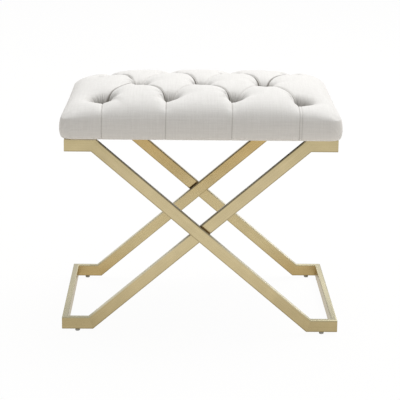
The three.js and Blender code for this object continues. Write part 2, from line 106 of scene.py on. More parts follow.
def calculate(tree, operation, *values):
    inputs = {f"_{place}": value for place, value in enumerate(values)}
    return add_node(tree, "ShaderNodeMath", {"operation": operation}, **inputs).outputs[0]


def rescale(tree, value, to_min, to_max, from_min=0.0, from_max=1.0):
    return add_node(
        tree, "ShaderNodeMapRange", Value=value, From_Min=from_min, From_Max=from_max,
        To_Min=to_min, To_Max=to_max).outputs[0]


def new_finish(name):
    """A new material, and its empty node tree."""
    material = bpy.data.materials.new(name)
    material.use_nodes = True
    material.node_tree.nodes.clear()
    return material, material.node_tree


def mesh_object(name, points, faces):
    """A new object at the origin from points and faces."""
    mesh = bpy.data.meshes.new(name)
    mesh.from_pydata([tuple(p) for p in points], [], [tuple(int(i) for i in f) for f in faces])
    mesh.update()
    piece = bpy.data.objects.new(name, mesh)
    scene.collection.objects.link(piece)
    return piece


world = bpy.data.worlds.new("white_room")
world.use_nodes = True
scene.world = world
room = world.node_tree
room.nodes.clear()
rays = add_node(room, "ShaderNodeLightPath").outputs
seen = calculate(room, "MAXIMUM", rays["Is Camera Ray"], rays["Is Glossy Ray"])
seen = calculate(room, "MAXIMUM", seen, rays["Is Transmission Ray"])
light = add_node(room, "ShaderNodeBackground", Color=room_white, Strength=rescale(room, seen, room_fill, 1.0))
add_node(room, "ShaderNodeOutputWorld", Surface=light)

lamp_data = bpy.data.lights.new("overhead_lamp", "AREA")
lamp_data.shape, lamp_data.size, lamp_data.energy = "SQUARE", lamp_size, lamp_power
lamp = bpy.data.objects.new("overhead_lamp", lamp_data)
lamp.location = lamp_place
lamp.rotation_euler = (lamp_aim - lamp_place).to_track_quat("-Z", "Y").to_euler()
scene.collection.objects.link(lamp)

floor_signs = ((-1, -1), (1, -1), (1, 1), (-1, 1))
studio_floor = mesh_object(
    "studio_floor", [(x * floor_half, y * floor_half, 0) for x, y in floor_signs], [(0, 1, 2, 3)])
floor_paint, paint = new_finish("studio_floor_paint")
rays = add_node(paint, "ShaderNodeLightPath").outputs
seen = calculate(paint, "MAXIMUM", rays["Is Camera Ray"], rays["Is Glossy Ray"])
floor_mix = add_node(
    paint, "ShaderNodeMixShader", Fac=calculate(paint, "MULTIPLY", seen, floor_glow_share),
    _1=add_node(paint, "ShaderNodeBsdfDiffuse", Color=floor_tone),
    _2=add_node(paint, "ShaderNodeEmission", Color=room_white))
add_node(paint, "ShaderNodeOutputMaterial", Surface=floor_mix)
studio_floor.data.materials.append(floor_paint)


# The steel frames
# Two closed loops of rectangular steel tube, mitred, welded, ground flush at every corner and
# plated in champagne gold. The plating is brushed along each tube, so its own UV runs the same way.
tube_width, tube_thickness = 0.027, 0.0126
tube_round, tube_round_steps = 0.0017, 3
edge_fade, run_step = 0.0013, 0.9
foot_bend_x, seat_bend_x = 0.23737, 0.22913
floor_bar_x, seat_rail_x = 0.2937, 0.2852
foot_level, seat_bar_level = 0.0185, 0.4165
frame_rows = {"outer_frame": (1, 0.2167), "inner_frame": (-1, 0.2038)}
rail_hole_radius, rail_hole_top, rail_hole_y = 0.0046, 0.4282, 0.12


def tube_outline():
    """The tube's outside with rounded corners, anticlockwise, as (across, up, edge, upper) points.
    Edge is 1 on the lower corners only, upper is 1 on the upper side with its corners."""
    def beside(point, turn, upper):
        x, y = edge_fade * cos(turn), edge_fade * sin(turn)
        return (point[0] + x, point[1] + y, 0.0, float(upper))

    across, up = tube_thickness / 2 - tube_round, tube_width / 2 - tube_round
    points = []
    for quarter, (x, y) in enumerate(((across, up), (-across, up), (-across, -up), (across, -up))):
        arc = []
        for step in range(tube_round_steps + 1):
            turn = (quarter + step / tube_round_steps) * pi / 2
            arc.append((x + tube_round * cos(turn), y + tube_round * sin(turn),
                        float(y < 0), float(y > 0)))
        back, ahead = (quarter - 1) * pi / 2, (quarter + 2) * pi / 2
        points += [beside(arc[0], back, quarter == 1), *arc, beside(arc[-1], ahead, quarter == 0)]
    return points


def mark_points(mesh, name, values):
    """Keeps a number for each point of a mesh, for its material or its nodes to read."""
    mesh.attributes.new(name, "FLOAT", "POINT").data.foreach_set("value", values)


def turn_faces_out(mesh):
    """Merges doubled points and turns all faces of a closed skin outwards."""
    body = bmesh.new()
    body.from_mesh(mesh)
    bmesh.ops.remove_doubles(body, verts=body.verts, dist=1e-6)
    bmesh.ops.recalc_face_normals(body, faces=body.faces)
    body.to_mesh(mesh)
    body.free()


def frame_loop(name, side, frame_y):
    """One closed frame: eight mitred tubes as a single skin. A UV runs along each tube, and each
    has its own part of the run, run_step after the one before."""
    front_half = ((side * floor_bar_x, foot_level), (side * foot_bend_x, foot_level),
                  (-side * seat_bend_x, seat_bar_level), (-side * seat_rail_x, seat_bar_level))
    corners = [Vector((x, -frame_y, z)) for x, z in front_half]
    corners += [Vector((x, frame_y, z)) for x, z in reversed(front_half)]
    outline = tube_outline()
    count, sides = len(corners), len(outline)
    girth = [0.0]
    for a, b in zip(outline, outline[1:] + outline[:1]):
        girth.append(girth[-1] + dist(a[:2], b[:2]))
    verts, faces, uvs = [], [], []
    for k, start in enumerate(corners):
        end = corners[(k + 1) % count]
        before, after = start - corners[k - 1], corners[(k + 2) % count] - end
        along = (end - start).normalized()
        up = (Vector((0, 0, 1)) - along * along.z).normalized()
        across = up.cross(along)
        for point, turn in ((start, before.normalized() + along), (end, after.normalized() + along)):
            plane = turn.normalized()
            for x, y, *_ in outline:
                offset = across * x + up * y
                slide = -offset.dot(plane) / along.dot(plane)
                verts.append(point + offset + along * slide)
        first = len(verts) - 2 * sides
        for i in range(sides):
            j = (i + 1) % sides
            quad = (first + i, first + j, first + sides + j, first + sides + i)
            faces.append(quad)
            for corner, girth_at in zip(quad, (girth[i], girth[i + 1], girth[i + 1], girth[i])):
                uvs += [(verts[corner] - start).dot(along) + k * run_step, girth_at]
    loop = mesh_object(name, verts, faces)
    loop.data.uv_layers.new(name="tube_run").data.foreach_set("uv", uvs)
    for kept_at, kept in ((2, "edge"), (3, "upper")):
        mark_points(loop.data, kept, [point[kept_at] for point in outline] * (2 * count))
    turn_faces_out(loop.data)
    loop.data.shade_smooth()
    return loop


def apply_modifiers(piece):
    """Turns a piece's modifiers into its plain mesh."""
    depsgraph = bpy.context.evaluated_depsgraph_get()
    made = bpy.data.meshes.new_from_object(piece.evaluated_get(depsgraph))
    piece.modifiers.clear()
    piece.data = made


def cut_away(piece, cutter, crossed=False):
    """Cuts the forms in a bmesh out of a piece."""
    tool = mesh_object("cutter", [], [])
    cutter.to_mesh(tool.data)
    cutter.free()
    cut = piece.modifiers.new("cut", "BOOLEAN")
    cut.operation, cut.solver, cut.use_self, cut.object = "DIFFERENCE", "EXACT", crossed, tool
    apply_modifiers(piece)
    bpy.data.objects.remove(tool)


def drill_seat_rail(loop, rail_x):
    """The access holes in the seat rail's underside, through which the screws are driven."""
    drill = bmesh.new()
    low = seat_bar_level - tube_width
    for y in (-rail_hole_y, rail_hole_y):
        bmesh.ops.create_cone(
            drill, cap_ends=True, segments=24, radius1=rail_hole_radius, radius2=rail_hole_radius,
            depth=rail_hole_top - low, matrix=Matrix.Translation((rail_x, y, (low + rail_hole_top) / 2)))
    cut_away(loop, drill)


def object_place(tree):
    return add_node(tree, "ShaderNodeTexCoord").outputs["Object"]


def axes(tree, vector):
    return add_node(tree, "ShaderNodeSeparateXYZ", Vector=vector).outputs


def mark(tree, name, output="Fac"):
    """Reads what mark_points has kept."""
    return add_node(tree, "ShaderNodeAttribute", {"attribute_name": name}).outputs[output]


def mix(tree, share, low, high, blend_type="MIX"):
    """Two colours in one, low where the share is 0 and high where it is 1."""
    settings = {"data_type": "RGBA", "blend_type": blend_type}
    return add_node(tree, "ShaderNodeMix", settings, Factor=share, _6=low, _7=high).outputs[2]


def noise(tree, place, scale, detail, roughness, distortion=0.0):
    """Cloudy grain. A scale of three numbers draws it out along the axes."""
    if isinstance(scale, tuple):
        place, scale = add_node(tree, "ShaderNodeMapping", Vector=place, Scale=scale), 1.0
    return add_node(
        tree, "ShaderNodeTexNoise", Vector=place, Scale=scale, Detail=detail, Roughness=roughness,
        Distortion=distortion).outputs["Fac"]


def bump(tree, height, strength, distance, **inputs):
    return add_node(tree, "ShaderNodeBump", Height=height, Strength=strength, Distance=distance, **inputs)


def surface(tree, **inputs):
    """The Principled surface in which a finish ends."""
    add_node(tree, "ShaderNodeOutputMaterial", Surface=add_node(tree, "ShaderNodeBsdfPrincipled", **inputs))


def height_tones(tree, height, tones):
    """A colour that changes with the height above the floor, from (height, colour) pairs."""
    top = tones[-1][0]
    ramp = add_node(tree, "ShaderNodeValToRGB", Fac=calculate(tree, "DIVIDE", height, top))
    elements = ramp.color_ramp.elements
    for at, colour in tones[1:-1]:
        elements.new(at / top).color = (*colour, 1)
    elements[0].position, elements[0].color = tones[0][0] / top, (*tones[0][1], 1)
    elements[-1].color = (*tones[-1][1], 1)
    return ramp


# Fine streaks run along each tube, as a brush leaves them, with slow patches over them. The lower
# corners are darkened brown with a painted dark reflection, where the rounded edge would mirror the shaded
# floor
brushed_gold, gold = new_finish("brushed_gold_plating")
run = add_node(gold, "ShaderNodeUVMap", {"uv_map": "tube_run"}).outputs[0]
streak = add_node(
    gold, "ShaderNodeMix", {"data_type": "FLOAT"}, Factor=0.65,
    _2=noise(gold, run, (14.0, 1600.0, 400.0), 3.0, 0.6),
    _3=noise(gold, run, (5.0, 260.0, 60.0), 2.0, 0.5)).outputs[0]
brushed = mix(gold, streak, (0.60, 0.50, 0.285), (0.80, 0.68, 0.43))
patched = mix(gold, 0.25, brushed, noise(gold, run, 22.0, 3.0, 0.55), "MULTIPLY")
# Painted reflection: the lower rounded corners are darkened brown
lower_edge_dark_share = calculate(gold, "MULTIPLY", mark(gold, "edge"), 0.42)
lower_edge_painted_dark = mix(gold, lower_edge_dark_share, patched, (0.21, 0.155, 0.065))

# Painted reflection and shade by place: the gold is made darker on the feet than on the legs, and warmer at
# the back than in front
place = axes(gold, object_place(gold))
front_painted_light = height_tones(gold, place["Z"], [
    (0.018, (0.72, 0.685, 0.60)), (0.09, (0.88, 0.85, 0.79)), (0.20, (0.98, 0.97, 0.94)),
    (0.34, (0.96, 0.945, 0.92)), (0.43, (0.86, 0.85, 0.79))])
back_painted_light = height_tones(gold, place["Z"], [
    (0.018, (0.77, 0.67, 0.50)), (0.09, (0.99, 0.96, 0.87)), (0.20, (1.0, 0.97, 0.89)),
    (0.34, (0.945, 0.81, 0.585)), (0.43, (0.945, 0.80, 0.575))])
painted_light_by_place = mix(gold, rescale(gold, place["Y"], 0.0, 1.0, -0.17, 0.17), front_painted_light, back_painted_light)
plated = mix(gold, 1.0, lower_edge_painted_dark, painted_light_by_place, "MULTIPLY")

# The upper sides carry painted light: a painted pale reflection below the crossing and on the floor bars,
# and painted dark shade above it, where they would mirror the seat's dark underside; they are also a
# little rougher. The floor bar is the loop's eighth tube, so all of it lies past this place in the run
floor_bar_from = 6.0
floor_bar_part = rescale(gold, axes(gold, run)["X"], 0.0, 0.35, floor_bar_from, floor_bar_from + 0.1)
upper_side = calculate(gold, "MAXIMUM", mark(gold, "upper"), floor_bar_part)
upper_share = calculate(gold, "MULTIPLY", upper_side, 0.75)
# Painted reflection and shade on the upper sides, changing with the height
upper_side_painted_light = height_tones(gold, place["Z"], [
    (0.03, (0.345, 0.332, 0.230)), (0.05, (0.60, 0.57, 0.45)), (0.18, (0.60, 0.57, 0.45)),
    (0.235, (0.08, 0.072, 0.05)), (0.42, (0.08, 0.072, 0.05)), (0.43, (0.56, 0.48, 0.31))])
surface(
    gold, Metallic=1.0, Anisotropic=0.4, Base_Color=mix(gold, upper_share, plated, upper_side_painted_light),
    Roughness=calculate(gold, "MULTIPLY_ADD", upper_share, 0.12, rescale(gold, streak, 0.22, 0.34)),
    Normal=bump(gold, streak, calculate(gold, "MULTIPLY_ADD", upper_share, -0.04, 0.03), 0.0002))


def dress(mesh, material):
    """Gives a mesh its one finish."""
    mesh.materials.clear()
    mesh.materials.append(material)


tube_names = ("front_foot", "front_leg", "front_seat_bar", "seat_rail",
              "rear_seat_bar", "rear_leg", "rear_foot", "floor_bar")
for frame_name, (side, frame_y) in frame_rows.items():
    loop = frame_loop(f"{frame_name}_loop", side, frame_y)
    drill_seat_rail(loop, -side * seat_rail_x)
    dress(loop.data, brushed_gold)
    loop.data.set_sharp_from_angle(angle=radians(38))
    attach(loop, "root")
    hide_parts(*(f"{frame_name}_{tube}" for tube in tube_names))


# The crossing welds
# Where two legs cross they are joined by one short bead of weld, laid as a row of small puddles in
# the corner between the top side of the nearer leg and the face of the leg behind it.
bead_leg, bead_inset = 0.0024, 0.001
bead_rows = {"front_crossing_weld": (1, 3), "rear_crossing_weld": (-1, 8)}
leg_lean = atan2(seat_bar_level - foot_level, foot_bend_x + seat_bend_x)


def new_group(name, kind, inputs, outputs):
    """A node group, and its inputs to read. Sockets are named with underscores for spaces, and
    each says its usual number or its kind."""
    group = bpy.data.node_groups.new(name, kind)
    for in_out, sockets in (("INPUT", inputs), ("OUTPUT", outputs)):
        for label, value in sockets.items():
            number = {int: "Int", float: "Float"}.get(type(value))
            socket = group.interface.new_socket(
                label.replace("_", " "), in_out=in_out, socket_type=f"NodeSocket{number or value}")
            if number:
                socket.default_value = value
    return group, add_node(group, "NodeGroupInput").outputs


def grow(piece, group, **values):
    """Makes a piece's mesh with a Geometry Nodes group, whose inputs are named as in new_group."""
    modifier = piece.modifiers.new("grown", "NODES")
    modifier.node_group = group
    for key, value in values.items():
        modifier[group.interface.items_tree[key.replace("_", " ")].identifier] = value
    apply_modifiers(piece)


puddles, given = new_group(
    "weld_puddles", "GeometryNodeTree",
    dict(Start="Vector", End="Vector", Spacing=0.0016, Along=0.0013, Across=0.0022, Seed=3,
         Finish="Material"), dict(Bead="Geometry"))
line = add_node(puddles, "GeometryNodeCurvePrimitiveLine", Start=given["Start"], End=given["End"])
row = add_node(puddles, "GeometryNodeCurveToPoints", {"mode": "LENGTH"}, Curve=line, Length=given["Spacing"])
form = add_node(puddles, "GeometryNodeMeshUVSphere", Segments=20, Rings=12, Radius=1.0)
size = add_node(
    puddles, "FunctionNodeRandomValue", {"data_type": "FLOAT"}, _2=0.88, _3=1.08, _8=given["Seed"])
reach = add_node(puddles, "ShaderNodeCombineXYZ", X=given["Across"], Y=given["Across"], Z=given["Along"])
scale = add_node(puddles, "ShaderNodeVectorMath", {"operation": "SCALE"}, _0=reach, Scale=size.outputs[1])
copies = add_node(
    puddles, "GeometryNodeInstanceOnPoints", Points=row, Instance=form, Rotation=row.outputs["Rotation"],
    Scale=scale)
real = add_node(puddles, "GeometryNodeRealizeInstances", Geometry=copies)
smooth = add_node(puddles, "GeometryNodeSetShadeSmooth", Geometry=real)
made = add_node(puddles, "GeometryNodeSetMaterial", Geometry=smooth, Material=given["Finish"])
add_node(puddles, "NodeGroupOutput", Bead=made)

# The weld bead is real; its dark brown is painted shade and reflection, standing for the dark band where the
# two legs shade and mirror each other at the crossing
weld_shade_finish, weld = new_finish("crossing_weld_painted_shade")
grain = noise(weld, object_place(weld), 900.0, 3.0, 0.6)
surface(
    weld, Metallic=1.0, Base_Color=mix(weld, grain, (0.10, 0.055, 0.016), (0.25, 0.155, 0.055)),
    Roughness=rescale(weld, grain, 0.35, 0.6), Normal=bump(weld, grain, 0.3, 0.0002))

for bead_name, (side, seed) in bead_rows.items():
    low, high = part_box(bead_name)
    rise = Vector((side * sin(leg_lean), 0, cos(leg_lean))) * bead_leg
    start = Vector((low[0] if side > 0 else high[0], high[1], high[2] - rise.z))
    end = Vector(((high[0] if side > 0 else low[0]) - rise.x, high[1], low[2]))
    inset = (end - start).normalized() * bead_inset
    bead = mesh_object(bead_name + "_bead", [], [])
    grow(bead, puddles, Start=tuple(start + inset), End=tuple(end - inset), Finish=weld_shade_finish, Seed=seed)
    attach(bead, "root")
    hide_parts(bead_name)


# The glides
# Grey nylon feet, one near each end of every foot and floor bar. Each is moulded in one piece with a
# stem that snaps up into the tube, so that the steel stands 5 mm clear of the floor.
glide_profile = [
    (0, 0.0), (0.0036, 0.0), (0.0045, 0.0002), (0.00495, 0.0006), (0.0052, 0.0013), (0.0052, 0.0041),
    (0.0050, 0.0046), (0.0047, 0.0047), (0.0031, 0.0047), (0.0030, 0.0052), (0.0030, 0.0098),
    (0.0026, 0.0106), (0.0019, 0.0110), (0, 0.0110)]
glide_sides = 40


def turned_piece(name, profile, sides):
    """A turned form from (radius, height) points that run up from the axis and back to it."""
    points, faces = [], []
    for radius, up in profile[1:-1]:
        for k in range(sides):
            turn = 2 * pi * k / sides
            points.append((radius * cos(turn), radius * sin(turn), up))
    top_ring, low_pole = len(points) - sides, len(points)
    for lower in range(0, top_ring, sides):
        for k in range(sides):
            after = (k + 1) % sides
            faces.append((lower + k, lower + after, lower + sides + after, lower + sides + k))
    points += [(0, 0, profile[0][1]), (0, 0, profile[-1][1])]
    for k in range(sides):
        after = (k + 1) % sides
        faces += [(low_pole, after, k), (low_pole + 1, top_ring + k, top_ring + after)]
    piece = mesh_object(name, points, faces)
    piece.data.shade_smooth()
    return piece


# Sets copies of one small piece at marked places, each turned as its place says and a little more
placing, given = new_group(
    "set_in_places", "GeometryNodeTree",
    dict(Places="Geometry", Piece="Object", Turn_Spread=0.0, Seed=0, Finish="Material"),
    dict(Pieces="Geometry"))
place_turn = add_node(placing, "GeometryNodeInputNamedAttribute", {"data_type": "FLOAT"}, Name="turn")
loose_turn = add_node(
    placing, "FunctionNodeRandomValue", {"data_type": "FLOAT"},
    _2=calculate(placing, "MULTIPLY", given["Turn Spread"], -1.0), _3=given["Turn Spread"], _8=given["Seed"])
whole_turn = calculate(placing, "ADD", place_turn.outputs["Attribute"], loose_turn.outputs[1])
copies = add_node(
    placing, "GeometryNodeInstanceOnPoints", Points=given["Places"],
    Instance=add_node(placing, "GeometryNodeObjectInfo", Object=given["Piece"]).outputs["Geometry"],
    Rotation=add_node(placing, "ShaderNodeCombineXYZ", Z=whole_turn))
real = add_node(placing, "GeometryNodeRealizeInstances", Geometry=copies)
made = add_node(placing, "GeometryNodeSetMaterial", Geometry=real, Material=given["Finish"])
add_node(placing, "NodeGroupOutput", Pieces=made)


def set_in_places(name, piece, places, finish, turns=None, turn_spread=pi, seed=1):
    """One mesh with a copy of a piece at each place. The piece itself is used up."""
    made = mesh_object(name, places, [])
    mark_points(made.data, "turn", turns or [0.0] * len(places))
    grow(made, placing, Piece=piece, Turn_Spread=turn_spread, Seed=seed, Finish=finish)
    bpy.data.objects.remove(piece)
    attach(made, "root")
    return made


def set_at_nodes(name, piece, node_part, finish, seed):
    """One mesh with a copy of a piece at the foot of each CAD node of its kind, in their stead."""
    stood_for = sorted(node for node in nodes if node_part in node)
    boxes = [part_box(node) for node in stood_for]
    places = [((low[0] + high[0]) / 2, (low[1] + high[1]) / 2, low[2]) for low, high in boxes]
    made = set_in_places(name, piece, places, finish, seed=seed)
    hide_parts(*stood_for)
    return made


grey_nylon, nylon = new_finish("grey_moulded_nylon")
place = object_place(nylon)
grain, dust = noise(nylon, place, 2600.0, 3.0, 0.7), noise(nylon, place, 320.0, 2.0, 0.5)
surface(
    nylon, Base_Color=mix(nylon, dust, (0.41, 0.41, 0.38), (0.54, 0.54, 0.50)),
    Roughness=rescale(nylon, grain, 0.45, 0.65), Normal=bump(nylon, grain, 0.25, 0.00015))

glide = turned_piece("glide", glide_profile, glide_sides)
glides = set_at_nodes("frame_glides", glide, "_glide", grey_nylon, seed=2)
glides.data.set_sharp_from_angle(angle=radians(50))


# The seat board and the foam
# A birch plywood board carries everything. On it lies one slab of cream foam, cut through under each
# button and sloped down at its upper edge. Both are closed in by the cover.
birch_ply, ply = new_finish("birch_plywood")
place = object_place(ply)
grain = noise(ply, place, (6.0, 95.0, 95.0), 5.0, 0.6, 0.6)
layers = calculate(ply, "SINE", calculate(ply, "MULTIPLY", axes(ply, place)["Z"], 4600.0))
wood = mix(ply, grain, (0.47, 0.32, 0.17), (0.66, 0.49, 0.30))
surface(
    ply, Roughness=0.7, Base_Color=mix(ply, 1.0, wood, rescale(ply, layers, 0.72, 1.0, -1.0), "MULTIPLY"),
    Normal=bump(ply, grain, 0.2, 0.0004))
dress(nodes["seat_board"].data, birch_ply)

seat_foam, foam = new_finish("cream_seat_foam")
cells = add_node(foam, "ShaderNodeTexVoronoi", Vector=object_place(foam), Scale=900.0).outputs["Distance"]
surface(
    foam, Roughness=0.95, Base_Color=mix(foam, cells, (0.62, 0.52, 0.28), (0.86, 0.76, 0.46)),
    Normal=bump(foam, cells, 0.5, 0.0006))
dress(nodes["foam_slab"].data, seat_foam)


# The tufted cover
# Off-white linen over thick wadding and foam. The cloth is drawn down at each button, folded
# into pleats between the buttons and over the front and back edges, and turned under the board.
frame_top = 0.430
half_width, half_depth = 0.2975, 0.2300
cushion_shift, left_taper = -0.0015, 0.005
plan_round, shoulder_band = 0.026, 0.050
side_height, crown_base, crown_height = 0.045, 0.041, 0.0942
shoulder_power_x, shoulder_power_y = 3.6, 4.0
full_corner_power, full_corner_from, full_corner_to = 3.6, -0.08, 0.12
corner_smoothness, shoulder_lean = 5, 0.0011
tuft_spacing, tuft_row_spacing = 0.14202, 0.130014
tuft_floor, tuft_sharpness, crease_spread = 0.045, 0.8, 22
valley_depth, valley_reach = 0.005, 0.022
side_profile = [
    (0.0, 0.045), (0.0018, 0.039), (0.0029, 0.0325), (0.0035, 0.0255), (0.0036, 0.0185), (0.0028, 0.0115),
    (0.0014, 0.0062), (-0.0004, 0.0024), (-0.0028, 0.0007), (-0.007, 0.0004), (-0.034, 0.0004)]
sim_cell, sim_pressure, sim_cap, sim_steps = 0.007, 4.0, 0.005, 20

# Each button: in each direction, the radius held down flat and the distance in which the cloth
# comes back up, in mm. No two are pulled alike, and the first in front is held over a wider turn.
held_front, held_left, held_back, held_right, held_pleat_left, held_pleat_right = range(6)
wide_front, narrow_front = (-105, -57), (-91, -89)
tuft_rows = [
    [[(13, 19), (17, 13), (10, 13), (22, 6), (13, 14), (21, 8)],
     [(11, 23), (9, 3), (10, 13), (12, 14), (10, 7), (12, 17)],
     [(12, 23), (14, 3), (10, 14), (12, 13), (14, 7), (12, 17)],
     [(17, 24), (13, 4), (10, 14), (19, 17), (12, 9), (16, 17)]],
    [[(10, 14), (4, 3), (10, 13), (14, 10), (4, 3), (13, 14)],
     [(10, 14), (12, 4), (10, 13), (10, 10), (13, 7), (10, 14)],
     [(10, 18), (14, 5), (10, 13), (12, 8), (15, 8), (14, 10)]],
    [[(10, 6), (10, 6), (10, 12), (10, 6), (10, 8), (10, 8)]] * 3
    + [[(10, 3), (10, 4), (10, 10), (10, 4), (10, 5), (10, 3)]]]
tufts = [
    ((place - (len(row_tufts) - 1) / 2) * tuft_spacing, (row - 1) * tuft_row_spacing, row, held)
    for row, row_tufts in enumerate(tuft_rows) for place, held in enumerate(row_tufts)]

# The flat cloth: a straight middle, and round it a band that goes over the shoulder and down the side
profile_run = np.cumsum([0.0] + [dist(a, b) for a, b in zip(side_profile, side_profile[1:])])
profile_out, profile_up = np.array(side_profile).T
cloth_drop = profile_run[-1]
band_core_x, band_core_y = half_width - plan_round, half_depth - plan_round
band_round = plan_round + shoulder_band / 2
cloth_half_x, cloth_half_y = band_core_x + band_round + cloth_drop, band_core_y + band_round + cloth_drop

# Each pleat: its two ends in the flat cloth, the depths of its fold line and of a fainter second
# line, the side on which the cloth rides over the fold, by how much, and how far it bows aside
edge_pleats = [(0.002, 0.0), (-0.003, 0.0), (-0.0045, 0.0), (-0.004, 0.0008)]
back_pleat, edge_pleat_reach = (0.002, 0.0), 0.052
over_left, over_right = -1, 1
bow_left_leaning, bow_right_leaning = (0.0, 0.016), (0.0, -0.006)
pleats = []
for place, (x0, y0, row0, _) in enumerate(tufts):
    for x1, y1, row1, _ in tufts:
        if row1 != row0 + 1 or abs(x1 - x0) > tuft_spacing * 3 / 4:
            continue
        if x1 < x0:
            fold, lift = (0.0007, 0.0014) if place == 3 else (0.0012, 0.0050)
            form = (fold, fold, over_left, lift, bow_left_leaning[row0])
        elif (row0 == 0 and x0 < -tuft_spacing) or (row0 == 1 and x0 > tuft_spacing / 2):
            form = (0.0010, 0.0, over_right, 0.0034, bow_right_leaning[row0])
        else:
            form = (0.0006, 0.0, over_right, 0.0004, bow_right_leaning[row0])
        pleats.append((x0, y0, x1, y1, *form))
for front, back, edge_pleat in zip(tufts[:4], tufts[7:], edge_pleats):
    for (x0, y0, *_), (shift, second) in ((front, edge_pleat), (back, back_pleat)):
        edge_y = copysign(band_core_y + band_round + edge_pleat_reach, y0)
        pleats.append((x0 + shift, y0, x0 + 1.5 * shift, edge_y, 0.0011, second, over_right, 0.0, 0.0))


def past_core(u, v):
    """How far points of the flat cloth lie out from its straight middle."""
    return np.maximum(np.abs(u) - band_core_x, 0), np.maximum(np.abs(v) - band_core_y, 0)


def cloth_to_cushion(u, v):
    """Where points of the flat cloth lie on the untufted cushion, and how high its crown is there."""
    in_x, in_y = past_core(u, v)
    far = np.hypot(in_x, in_y)
    far_safe = np.maximum(far, 1e-9)
    inner = band_round - shoulder_band
    plan_far = np.where(far <= inner, far, plan_round - (band_round - far) ** 2 / (2 * shoulder_band))
    plan_far = np.where(far >= band_round, plan_round, plan_far)
    run = np.clip(far - band_round, 0, cloth_drop)
    out = plan_far + np.interp(run, profile_run, profile_out)
    base_x, base_y = np.minimum(np.abs(u), band_core_x), np.minimum(np.abs(v), band_core_y)
    x = np.sign(u) * (base_x + in_x / far_safe * out)
    y = np.sign(v) * (base_y + in_y / far_safe * out)
    both = (in_x ** corner_smoothness + in_y ** corner_smoothness) ** (1 / corner_smoothness)
    square = plan_far / np.maximum(both, 1e-9)
    share_x = np.clip((base_x + in_x * square) / (half_width + shoulder_lean), 0, 1)
    share_y = np.clip((base_y + in_y * square) / (half_depth + shoulder_lean), 0, 1)
    full = np.clip((y - full_corner_from) / (full_corner_to - full_corner_from), 0, 1)
    full = full * np.clip(x / half_width, 0, 1)
    power_x = shoulder_power_x + full_corner_power * full
    rise = np.sqrt(1 - share_x ** power_x) * np.sqrt(1 - share_y ** shoulder_power_y)
    crown = crown_base + (crown_height - crown_base) * rise
    z = crown * np.where(far >= band_round, np.interp(run, profile_run, profile_up) / side_height, 1)
    return x, y, z, np.where(far >= band_round, 0, rise)


def pleat_bow(run, length, bow):
    """How far a pleat lies beside the straight line between its ends, most two thirds along."""
    share = np.clip(run / length, 0, 1)
    return 6.75 * bow * share ** 2 * (1 - share)


def pleat_line(x0, y0, x1, y1):
    """The length and the direction of the straight line between a pleat's ends."""
    length = hypot(x1 - x0, y1 - y0)
    return length, (x1 - x0) / length, (y1 - y0) / length


def along_pleat(u, v, pleat):
    """Signed distance from a pleat's line, and how far along it the nearest point is."""
    x0, y0 = pleat[:2]
    length, tx, ty = pleat_line(*pleat[:4])
    run = (u - x0) * tx + (v - y0) * ty
    off = (u - x0) * ty - (v - y0) * tx - pleat_bow(run, length, pleat[8])
    return off, run, length


def bell(off, width):
    return np.exp(-(off / width) ** 2)


def nearest_pleat(u, v):
    found = (along_pleat(u, v, pleat) for pleat in pleats)
    return np.min([np.hypot(off, run - np.clip(run, 0, length)) for off, run, length in found], axis=0)


def nearest_tuft(u, v):
    return np.min([np.hypot(u - x, v - y) for x, y, *_ in tufts], axis=0)


def inside_cloth(u, v):
    return np.hypot(*past_core(u, v)) <= band_round + cloth_drop + 1e-6


def tuft_pull(u, v, tuft):
    """How strongly a button holds the cloth down at a point, from 1 at the button to 0."""
    x, y, row, held = tuft
    pleat = degrees(atan2(tuft_row_spacing, tuft_spacing / 2))
    front = [(-180 + pleat - crease_spread, held_left), (-180 + pleat, held_pleat_left), (-90, held_front),
             (-pleat, held_pleat_right), (-pleat + crease_spread, held_right)]
    back = [(pleat - crease_spread, held_right), (pleat, held_pleat_right), (90, held_back),
            (180 - pleat, held_pleat_left), (180 - pleat + crease_spread, held_left)]
    if row == 0:
        front_from, front_to = wide_front if x < -tuft_spacing else narrow_front
        front = [(-130, held_left), (front_from, held_front), (front_to, held_front), (-45, held_right)]
    if row == 2:
        back = [(50, held_right), (90, held_back), (130, held_left)]
    around = front + back + [(front[0][0] + 360, held_left)]
    turns = [turn for turn, _ in around]
    turn = (np.degrees(np.arctan2(v - y, u - x)) - turns[0]) % 360 + turns[0]
    seat, reach = (np.interp(turn, turns, [held[way][part] / 1000 for _, way in around]) for part in (0, 1))
    far = np.maximum(0, np.hypot(u - x, v - y) - seat)
    return np.exp(-((far / reach) ** tuft_sharpness))


def left_free(u, v):
    """How much of its height the cloth keeps between the buttons, from 0 at a button to 1."""
    free = np.ones_like(u)
    for tuft in tufts:
        free = free * (1 - tuft_pull(u, v, tuft))
    return free


side_rise, side_fade, pleat_fade = 0.16, 0.4, 0.006
lip_reach, under_width, under_reach, lip_share = 0.006, 0.0026, 0.010, 0.2


def tufted_height(u, v, z, rise, fold_share):
    """The crown drawn down at the buttons, along the pleats and in the folds beside them."""
    free = left_free(u, v)
    drop = (z - tuft_floor) * (1 - free)
    above_side = np.clip((rise - side_rise) / side_fade, 0, 1) ** 2
    for pleat in pleats:
        off, run, length = along_pleat(u, v, pleat)
        ends = np.clip(run / pleat_fade, 0, 1) * np.clip((length - run) / pleat_fade, 0, 1)
        beyond = np.maximum(0, np.abs(run - length / 2) - length / 2)
        far = np.hypot(off, beyond)
        depth = valley_depth * np.maximum(0, 1 - far / valley_reach) ** 2
        over_side, over_lift = pleat[6], pleat[7] * fold_share
        step = np.where(off * over_side > 0, over_lift * lip_share * np.exp(-far / lip_reach),
                        -over_lift * (bell(far, under_width) + lip_share * np.exp(-far / under_reach)))
        drop = drop + free * above_side * (depth - step * (beyond == 0) * ends)
    return np.where(rise > 0, z - drop, z)


